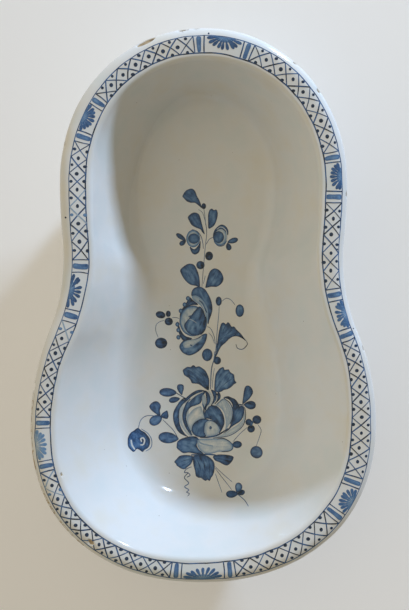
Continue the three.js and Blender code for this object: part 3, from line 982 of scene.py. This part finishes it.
group = "spray_leaves"
berry(group, (-41.5, -10.5), 5.1, 3.7, wash=0.75, turn=-15)
berry(group, (-33.5, -9.5), 2.6, 3.3)
berry(group, (-33, -17.5), 4.3, 4.1)
berry(group, (-41, -40), 6.4, 5.7)
berry(group, (19, 3.5), 3.2, 4.8, wash=0.7)
berry(group, (41, -6.5), 4.5, 6.6, wash=0.66)
berry(group, (7, -52.5), 5.5, 6.6, wash=0.66)
berry(group, (17.5, -58.5), 3.9, 4.1)
patch(group, [
    (13.5, -59.5), (16, -50), (17.5, -39.5), (19, -29.5), (20.5, -23), (22, -19.5), (24.5, -19),
    (26.5, -20.5), (28.5, -18.5), (30.5, -20), (32.5, -23), (35, -23), (37.5, -26), (39.5, -28), (42.5, -31),
    (45.5, -35), (48.5, -39), (43.5, -35.5), (39, -33.5), (34.5, -33.5), (30, -36), (26, -40), (22, -43.5),
    (19.5, -47.5), (17, -53)], 0.64, fade=((24, -27), (44, -33.5), 0.78))

group = "spray_stems"
for rib in ((22.5, -23), (26, -22), (29.5, -24), (33, -27), (37.5, -29.5)):
    line(group, [(16.5, -49), (19.5, -37.5), rib], 0.8, 0.86)
line(group, [(48, -38.5), (49, -41.5), (46, -45.5), (42.5, -47), (38.5, -45.5), (37, -41.5)], 0.8, 0.95)
line(group, [(-29.5, -13.5), (-25.5, -13.5), (-22, -14.5)], 0.6, 0.9)
line(group, [(-37.5, -16.5), (-42, -17.5), (-46, -21), (-46.5, -27), (-44, -34)], 0.55, 0.85)
line(group, [(22.5, 3.5), (27, 6.5), (32, 4.5), (36, -0.5)], 0.6, 0.85)
line(group, [(19.5, -1), (19, -10.5), (18, -21), (17, -32.5), (16.5, -41.5), (15, -53)], 0.6, 0.85)
line(group, [(7, -23), (10.5, -25), (14, -32.5), (15.5, -41.5)], 0.6, 0.88)
line(group, [(8.5, -29.5), (12, -33.5), (14.5, -40.5)], 0.5, 0.85)
line(group, [(15, -49), (14, -57.5), (12, -64.5), (11, -73), (10.5, -88.5)], 1.0, 0.85)
line(group, [(14.5, -66.5), (13, -77), (12.5, -87.5)], 0.5, 0.9)

# %% Leaves of the large rose
group = "rose_leaves"
patch(group, [
    (8.5, -89.5), (5, -88), (1, -85), (-2.5, -83), (-6, -82.5), (-9, -82), (-10.5, -79), (-12.5, -76.5),
    (-15, -75), (-17, -73.5), (-18, -71), (-18.5, -68.5), (-16.5, -66.5), (-14, -65), (-12, -65), (-10, -65),
    (-8.5, -63.5), (-6.5, -63.5), (-5, -65), (-1.5, -64.5), (2, -66.5), (5, -69), (7.5, -73.5), (9, -78.5),
    (9, -84)],
    0.66, deep=(4.5, -84))
patch(group, [
    (14.5, -90), (14.5, -84), (15, -78), (16, -72.5), (19, -68), (21.5, -66), (24, -65.5), (25, -68),
    (27.5, -68), (29.5, -68), (31, -70.5), (33, -72), (35, -73.5), (35.5, -76.5), (36, -79.5), (37.5, -82),
    (35, -83.5), (32, -86.5), (28.5, -88.5), (24.5, -89.5), (22, -91), (19, -92), (16.5, -91.5)],
    0.58, deep=(33.5, -81))
patch(group, [
    (-27.5, -164.5), (-25, -161.5), (-22, -158.5), (-16.5, -157.5), (-11, -158), (-7.5, -159.5), (-8.5, -164),
    (-10.5, -167.5), (-13.5, -170), (-16.5, -172.5), (-20, -172), (-22.5, -170.5), (-25, -168.5),
    (-26, -166.5)],
    0.62)
patch(group, [
    (13, -159.5), (18, -157.5), (25, -157.5), (31.5, -158.5), (34.5, -160), (34, -163), (31.5, -166.5),
    (28, -169), (24, -168), (19.5, -165.5), (15, -163.5)], 0.66, deep=(32.5, -162))
patch(group, [
    (-7.5, -159), (-0.5, -157.5), (6.5, -158.5), (12, -162.5), (14.5, -167), (14.5, -173.5), (13, -179),
    (11, -182), (9.5, -185), (7, -184), (5.5, -185), (3, -184), (0.5, -182), (-2.5, -181.5), (-5, -179.5),
    (-6, -174), (-7.5, -168), (-8, -163)], 0.62, deep=(2.5, -160))
leaf(group, (-25, -92), (-43, -91), 9.1, 0.64, fullest=0.55)
patch(group, [
    (-19.5, -94.5), (-22.5, -91.5), (-24.5, -87.5), (-24, -84), (-21, -83), (-18, -84), (-17.5, -87.5),
    (-18.5, -91.5)],
    0.62)
leaf(group, (-21.5, -98), (-33, -100.5), 6.2, 0.7)
patch(group, [
    (-42, -117.5), (-46.5, -114), (-51, -110.5), (-53.5, -106.5), (-52, -103.5), (-48.5, -101), (-45, -101),
    (-42, -104), (-41.5, -107), (-42.5, -110.5), (-42, -114)], 0.64)
patch(group, [
    (-41.5, -117), (-40.5, -114), (-38, -112), (-35, -110.5), (-34, -113), (-33.5, -116), (-34.5, -119),
    (-37.5, -119)],
    0.72)
leaf(group, (-40.5, -117), (-53, -124), 10.3, 0.6, fullest=0.55)
leaf(group, (-23, -140.5), (-44, -138), 11.8, 0.64, fullest=0.58)
patch(group, [
    (44, -104.5), (44.5, -97.5), (45.5, -90), (47, -86), (50, -85), (53.5, -87.5), (55, -92), (53, -96.5),
    (49, -101)],
    0.64)
leaf(group, (45.5, -105), (58, -106), 8.9, 0.74, fullest=0.6)
berry(group, (59, -121), 4.7, 4.6)
berry(group, (50.5, -123.5), 3.5, 3.5, wash=0.8)
berry(group, (53, -130.5), 4, 4, wash=0.78)
berry(group, (58.5, -155), 6.4, 6.4, wash=0.68)
berry(group, (38.5, -147), 4.9, 3.8, wash=0.78)
leaf(group, (37, -195), (41, -186.5), 7, 0.42)
leaf(group, (38.5, -195.5), (26, -197.5), 5.8, 0.72)
leaf(group, (37.5, -196.5), (45, -193), 3.9, 0.88)

# %% Petals of the large rose
group = "rose_petals"
patch(group, [
    (-15, -98.5), (-20.5, -104.5), (-22.5, -113), (-21.5, -123.5), (-16.5, -132.5), (-10, -137.5), (-5, -132),
    (-10, -123.5), (-12.5, -113), (-11, -104)], 0.14, edge=0.3)
patch(group, [
    (5.5, -90.5), (-1, -89), (-7, -91), (-12.5, -95), (-16.5, -98.5), (-21.5, -101.5), (-25.5, -106.5),
    (-28.5, -113), (-28.5, -121), (-25.5, -129.5), (-21, -135), (-13, -138.5), (-17, -134.5), (-21, -127),
    (-22.5, -119), (-22, -110.5), (-19, -105), (-14, -100.5), (-9, -96), (-2.5, -92.5)],
    0.68, deep=(-24.5, -127.5))
patch(group, [
    (5, -90.5), (-2.5, -93), (-9, -97.5), (-14, -101.5), (-17, -107), (-19, -114), (-18.5, -121.5),
    (-15.5, -129), (-11.5, -135), (-9, -137), (-10.5, -131), (-14, -123.5), (-15, -116.5), (-13, -110.5),
    (-9.5, -107), (-5, -105.5), (0, -103), (2, -97.5)], 0.62, deep=(-15, -126.5))
line(group, [(3, -91), (-3.5, -94), (-9, -98), (-12.5, -102)], 0.9, 0.12)
patch(group, [
    (0, -106.5), (-6, -108.5), (-10.5, -112.5), (-14, -118), (-14, -123.5), (-12, -129), (-9.5, -132.5),
    (-8, -127), (-5, -122.5), (0, -120), (4.5, -119), (3.5, -114), (1.5, -109.5)], 0.12, edge=0.4)
patch(group, [
    (15.5, -105.5), (19.5, -101.5), (23, -98.5), (26.5, -100.5), (30, -104.5), (32.5, -109.5), (33, -116),
    (32, -122), (29, -127.5), (26, -131.5), (26.5, -126.5), (26, -119.5), (24.5, -113.5), (21.5, -109),
    (18, -106.5)],
    0.16, edge=0.4)
patch(group, [
    (24, -97.5), (28.5, -96), (32.5, -97.5), (36.5, -99.5), (39.5, -103.5), (41, -106.5), (37.5, -109),
    (34, -109), (33, -104), (29.5, -99.5)], 0.8, edge=0.97)
patch(group, [
    (34, -109), (38.5, -107.5), (42.5, -106.5), (45, -107.5), (46, -111.5), (44.5, -118), (41.5, -122.5),
    (37, -125.5), (32.5, -128.5), (29, -132), (24, -135), (30, -129), (33, -121), (34, -114)],
    0.64, deep=(31.5, -126.5))
patch(group, [
    (46, -113), (46.5, -120.5), (43.5, -127), (38.5, -132), (31.5, -136), (23, -138.5), (14, -139.5),
    (21, -137), (27.5, -133.5), (33.5, -129.5), (39.5, -125.5), (44, -120.5)], 0.14, edge=0.3)
patch(group, [
    (4, -119), (4.5, -112), (7, -108), (10, -106), (14.5, -105.5), (18.5, -107.5), (22, -112), (24.5, -118),
    (25, -124.5), (23, -130), (19.5, -135), (19, -130), (16.5, -125), (13, -121.5), (8, -119.5)],
    0.66, deep=(23, -127.5))
patch(group, [
    (3, -94), (5, -96.5), (5.5, -102), (4.5, -107.5), (2.5, -107.5), (1.5, -102), (1.5, -97)], 0.12, edge=0.4)
patch(group, [
    (5, -90), (8.5, -92.5), (10.5, -98.5), (9.5, -103), (6.5, -107), (5.5, -111), (4, -108), (6, -102),
    (5.5, -95.5)],
    0.74)
patch(group, [
    (8, -90), (11.5, -93), (13, -97.5), (12, -102.5), (9, -106), (6, -110.5), (7, -106.5), (9.5, -103),
    (10.5, -98), (9.5, -94)], 0.1, edge=0.2)
patch(group, [
    (11, -89), (15, -90.5), (17.5, -94), (17.5, -98.5), (15, -103), (10, -107), (12.5, -102), (13.5, -97.5),
    (12.5, -93.5)],
    0.7)
patch(group, [
    (17.5, -93), (19.5, -92), (21, -95), (20.5, -98.5), (18, -101.5), (14.5, -104.5), (17, -99.5),
    (18, -96.5)],
    0.82)
line(group, [(17, -95), (17, -99), (15, -102.5), (12, -105)], 0.9, 0.12)
patch(group, [
    (-9.5, -131), (-8, -125.5), (-4.5, -122), (0.5, -119.5), (5, -119.5), (9, -121), (6, -123.5), (4.5, -128),
    (4, -133), (5.5, -138), (-0.5, -139), (-6, -137), (-8.5, -134)], 0.58, deep=(-1.5, -122.5))
patch(group, [
    (5, -124.5), (7.5, -122), (12, -121), (15.5, -123), (18.5, -126.5), (20, -131), (19, -134.5), (15, -137),
    (9.5, -138), (6, -137.5), (4, -132)], 0.16, edge=0.4)
berry(group, (10.5, -129), 1.3, 1.8, wash=0.85, edge=0.8)
patch(group, [
    (-25, -147.5), (-24.5, -144), (-21.5, -141), (-16, -139), (-11, -138), (-6, -138.5), (-2, -141.5),
    (-4, -146.5), (-2, -151.5), (3, -156.5), (-5, -156.5), (-12, -155), (-18, -155.5), (-22.5, -152.5),
    (-25, -150)],
    0.6, deep=(-11, -140))
patch(group, [
    (-2, -141), (5.5, -140.5), (14, -140.5), (20.5, -140.5), (25, -141), (29.5, -142.5), (32.5, -146.5),
    (33.5, -150.5), (30.5, -153.5), (25, -154.5), (18.5, -154.5), (13.5, -156), (6.5, -156.5), (1, -154),
    (-2.5, -149.5), (-3.5, -145)], 0.12, edge=0.5)
patch(group, [
    (-76, -142), (-75.5, -137), (-73, -133), (-69, -130.5), (-65.5, -128.5), (-62, -131), (-58, -133.5),
    (-55, -137), (-53, -140.5), (-53, -145.5), (-55, -149.5), (-58.5, -151.5), (-60.5, -153.5),
    (-63.5, -151.5), (-66.5, -150), (-68.5, -152), (-70.5, -152.5), (-73.5, -149.5), (-75.5, -146.5)],
    0.6, fade=((-73, -144), (-56.5, -140), 0.74))

# %% Lines of the large rose
group = "rose_lines"
line(group, [(2, -103.5), (3.5, -108), (3.5, -114), (5, -119)], 1.5, 0.92)
line(group, [(9, -121), (14, -122.5), (18, -126), (20.5, -131), (19.5, -135)], 1.2, 0.92)
line(group, [(-0.5, -139), (7.5, -139), (16, -137.5), (22, -134.5), (29, -130)], 1.6, 0.93)
line(group, [(24, -98), (30.5, -103), (33.5, -110), (33.5, -118), (31, -125.5)], 1.1, 0.92)
line(group, [
    (41.5, -106), (45.5, -107.5), (47, -112), (47, -119.5), (44.5, -127), (39, -132.5), (31.5, -137),
    (23, -139), (13, -140)], 0.8, 0.92)
line(group, [(20.5, -114.5), (21, -117)], 2, 0.92)
line(group, [(17, -104.5), (21.5, -100.5), (24, -99.5)], 0.7, 0.85)
line(group, [(28.5, -107), (30, -113), (29, -121.5)], 0.6, 0.42)
line(group, [(25.5, -105), (27.5, -110), (27.5, -115.5)], 0.6, 0.42)
line(group, [(-23, -103), (-17, -98), (-11, -99)], 1.2, 0.95)
line(group, [(-10.5, -138.5), (-5, -139), (-2, -142)], 1.6, 0.93)
line(group, [(-3, -142), (1, -145.5), (6.5, -147), (13, -148.5)], 1.6, 0.42)
line(group, [
    (17, -141), (24, -140.5), (30, -143.5), (33.5, -147.5), (33.5, -151.5), (29.5, -154), (22, -154.5)],
    0.9, 0.93)
line(group, [(-10, -157.5), (-0.5, -157.5), (7.5, -157), (16, -158)], 1.7, 0.92)
line(group, [(-13.5, -68), (-6.5, -72.5), (0, -78.5), (6, -86.5)], 0.8, 0.86)
line(group, [(-5, -67), (1, -72.5), (6, -81)], 0.7, 0.84)
line(group, [(-14, -73), (-6.5, -77), (1.5, -84)], 1, 0.9)
line(group, [(30.5, -70.5), (23, -78), (16.5, -88.5)], 0.7, 0.84)
line(group, [(34.5, -77), (26.5, -82), (18.5, -90)], 0.7, 0.84)
line(group, [(2.5, -161), (4, -169), (5, -182.5)], 0.9, 0.93)
line(group, [(-3.5, -163), (-0.5, -171), (1, -180.5)], 0.8, 0.9)
line(group, [(8, -162), (9.5, -171), (9, -181.5)], 0.8, 0.9)
line(group, [(-23, -165.5), (-16, -163), (-9, -161.5)], 0.7, 0.86)
line(group, [(-20.5, -169), (-14.5, -166.5), (-9, -162.5)], 0.6, 0.84)
line(group, [(30.5, -162), (23, -161.5), (15, -161)], 0.7, 0.86)
line(group, [(-25.5, -92), (-20, -95.5), (-13, -99.5)], 0.9, 0.92)
line(group, [(-47, -116), (-56.5, -116), (-62.5, -120.5), (-65, -129)], 0.7, 0.8)
line(group, [(-39.5, -120), (-33, -126.5), (-28, -132), (-23, -141)], 0.65, 0.85)
line(group, [(49, -129), (41, -136), (34, -144)], 0.6, 0.85)
line(group, [(60, -126), (63.5, -132), (61.5, -140), (58.5, -148.5)], 0.6, 0.85)
line(group, [(32, -146), (35.5, -146.5)], 0.9, 0.9)
line(group, [(39.5, -104.5), (45.5, -105.5)], 1.1, 0.93)
line(group, [(55, -122.5), (52.5, -127.5)], 2.4, 0.85)
line(group, [(15, -170), (24, -178.5), (33, -186)], 0.6, 0.88)
line(group, [(15, -171.5), (22.5, -181.5), (32, -193)], 0.6, 0.88)
line(group, [(15.5, -177.5), (18.5, -186.5), (22, -196)], 0.6, 0.82)
line(group, [(38, -196.5), (44, -200), (47, -204)], 0.8, 0.82)
line(group, [
    (-9.5, -170), (-15, -172.5), (-17, -176), (-13.5, -176.5), (-17, -181.5), (-12.5, -187), (-17, -190.5),
    (-12.5, -193.5), (-15, -195.5), (-12, -197), (-14, -199)], 0.9, 0.88)
line(group, [(-13.5, -176), (-11, -179), (-14.5, -181)], 0.9, 0.85)
line(group, [(-61.5, -143), (-62.5, -140), (-60, -139), (-58.5, -142), (-60, -146), (-63, -146)], 1.6, 0.06)
line(group, [(-72.5, -140), (-71.5, -145.5), (-68.5, -150.5)], 1.6, 0.12)
line(group, [(-65, -129.5), (-59.5, -135), (-57, -140), (-58.5, -146.5)], 1, 0.86)
line(group, [
    (-62, -129.5), (-55.5, -134), (-51.5, -140), (-51, -146.5), (-53, -150.5), (-57.5, -153)], 0.8, 0.7)
line(group, [(-67, -133.5), (-68.5, -140.5), (-67, -149)], 1.2, 0.82)

print(f"all painting: {sum(len(group) for group in strokes.values())} strokes")

# %% [markdown]
# ## Chips and wear
#
# Two centuries of knocks have broken small flakes off the lip, where the glaze stands proud and thin. A chip
# is a shallow shell-shaped hollow through the glaze into the clay. One lumpy stone shape for each is cut out
# of all three pieces at once, so each chip shows the white edge of the coat and the buff clay in it. On the
# left, short streaks of bare clay colour lie along the edge of the lip, made as strokes are. They are partly
# wear and partly painted shade: they also stand for the warm shade and the brown reflection on the outer face
# of the lip there.

# %% Chips out of the lip
# how far along the lip and inside it, its length, its width and its depth
CHIPS = [(773, 1.8, 20, 7, 2.0), (735, 1.2, 10, 3, 1.1), (722, 1.0, 5, 2.4, 0.8), (620, 1.0, 5, 2.4, 0.9),
         (585, 1.5, 6, 3, 1.1), (1134, -0.4, 9, 5, 5.0), (1306, 8.0, 7, 6, 1.2), (1226, 23.5, 4, 3, 1.0),
         (1165, 0.5, 10, 3, 1.4), (1190, 0.5, 12, 3, 1.2), (1265, 0.5, 9, 3, 1.2), (900, 0.8, 4, 2.5, 1.0),
         (330, 0.8, 5, 3, 1.0), (480, 1.0, 4, 2.5, 0.9), (95, 0.8, 6, 3, 1.1)]
STONE_LIFT = 0.15          # how far a stone's middle is above the glaze, as a share of its depth
LUMPS, LUMP_TURNS = 0.22, 1.6
ROUGHNESS, ROUGH_TURNS = 0.08, 4.5
# the streaks of bare clay colour on the left edge of the lip are partly wear, partly painted shade and painted
# reflection
WORN_AND_SHADED_LIP, WORN_STEP = (1140, 1300), 7    # from where to where along the lip, and how far apart the streaks
DROP_FROM = 0.2            # metres, higher than everything


def lumpy_stone(bm, place, across, size, seed):
    """A small ball, stretched to `size` and roughened, at a place in millimetres."""
    upright = Vector((0, 0, 1))
    along = across.cross(upright)
    for corner in bmesh.ops.create_icosphere(bm, subdivisions=4, radius=1.0)["verts"]:
        co = corner.co * (1 + LUMPS * noise.noise(corner.co * LUMP_TURNS + Vector((seed * 7.3, 0, 0)))
                          + ROUGHNESS * noise.noise(corner.co * ROUGH_TURNS + Vector((seed * 3.1, 5, 0))))
        corner.co = (place + along * co.x * size[0] / 2 + across * co.y * size[1] / 2
                     + upright * co.z * size[2]) * MM


def chipped(spots):
    """Which places in plan lie in a chip."""
    gone = np.zeros(len(spots), dtype=bool)
    for along, inset, length, width, _ in CHIPS:
        across = on_rim(along, inset + 1) - on_rim(along, inset)
        away = spots - on_rim(along, inset)
        gone |= (away @ across * 2 / width) ** 2 + (away @ [-across[1], across[0]] * 2 / length) ** 2 < 1
    return gone


def straight_down(tree, x, y):
    """The first place under a place in plan, or None, and the face it lies on."""
    spot, _, face, _ = tree.ray_cast(Vector((x * MM, y * MM, DROP_FROM)), Vector((0, 0, -1)))
    return spot, face


def make_stones():
    tree = BVHTree.FromObject(inside_coat, bpy.context.evaluated_depsgraph_get())
    bm = bmesh.new()
    for seed, (along, inset, length, width, depth) in enumerate(CHIPS):
        spot = on_rim(along, inset)
        across = Vector((*(on_rim(along, inset + 1) - spot), 0)).normalized()
        below, _ = straight_down(tree, *spot)
        level = below.z / MM if below else LIP_LEVEL
        lumpy_stone(bm, Vector((*spot, level + depth * STONE_LIFT)), across, (length, width, depth), seed)
    mesh = bpy.data.meshes.new("chips")
    bm.to_mesh(mesh)
    bm.free()
    return new_object("chips", mesh)


def cut_chips():
    stones = make_stones()
    for piece in (inside_coat, outside_coat, clay):
        cut = piece.modifiers.new("chips", "BOOLEAN")
        cut.operation, cut.solver, cut.object = "DIFFERENCE", "EXACT", stones
        bpy.context.view_layer.objects.active = piece
        bpy.ops.object.modifier_apply(modifier=cut.name)
        print(f"{piece.name}: {len(piece.data.polygons)} faces after the chips")
    bpy.data.objects.remove(stones)


# bare clay colour laid along the left edge of the lip: wear, and painted shade and painted reflection on its
# outer face
def paint_worn_and_shaded_lip():
    for start in range(*WORN_AND_SHADED_LIP, WORN_STEP):
        along = np.linspace(start, start + 9 + shaky(3), 6)
        line("worn_and_shaded_lip", on_rim(along, 1.0 + shaky(0.4)), 1.7 + shaky(0.8), 0, taper=0.5)


# %% [markdown]
# ## Laying the strokes on the glaze
#
# Each point of a stroke drops straight down on the inner face and takes the smooth slope of the glaze there,
# so that a reflection runs on without a break from the white into the blue.

# %% Drape
def on_glaze(tree, surface, x, y):
    """The place on the inner face under a place in plan, and the smooth slope of the face there."""
    spot, index = straight_down(tree, x, y)
    if index is None:
        spot, _, index, _ = tree.find_nearest(Vector((x, y, LIP_LEVEL)) * MM)
    corners = [surface.vertices[c] for c in surface.polygons[index].vertices]
    weights = poly_3d_calc([corner.co for corner in corners], spot)
    return spot, sum((corner.normal * w for corner, w in zip(corners, weights)), Vector()).normalized()


def drape():
    surface = inside_coat.data
    tree = BVHTree.FromPolygons([corner.co for corner in surface.vertices],
                                [tuple(polygon.vertices) for polygon in surface.polygons])
    for group, sheets in strokes.items():
        places, slopes, faces, load = [], [], [], []
        for points, triangles, cobalt, height in sheets:
            triangles = np.array(triangles)
            whole = triangles[~chipped(points[triangles].mean(1))]
            faces.extend((len(places) + whole).tolist())
            load.extend(cobalt)
            for x, y in points:
                spot, slope = on_glaze(tree, surface, x, y)
                places.append(spot + slope * height * MM)
                slopes.append(slope)
        mesh = bpy.data.meshes.new(group)
        mesh.from_pydata(places, [], faces)
        mesh.attributes.new("cobalt", "FLOAT", "POINT").data.foreach_set("value", load)
        for polygon in mesh.polygons:
            polygon.use_smooth = True
            if polygon.normal.z < 0:
                polygon.flip()
        mesh.normals_split_custom_set_from_vertices(slopes)
        # the strokes along the lip take the clay's colour: wear, and painted shade and painted reflection
        bare = group == "worn_and_shaded_lip"
        mesh.materials.append(fired_clay if bare else cobalt_in_glaze)
        piece = new_object(group, mesh)
        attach(piece, "root")
        print(f"{group}: {len(sheets)} strokes, {len(places)} points")


paint_worn_and_shaded_lip()
drape()
cut_chips()
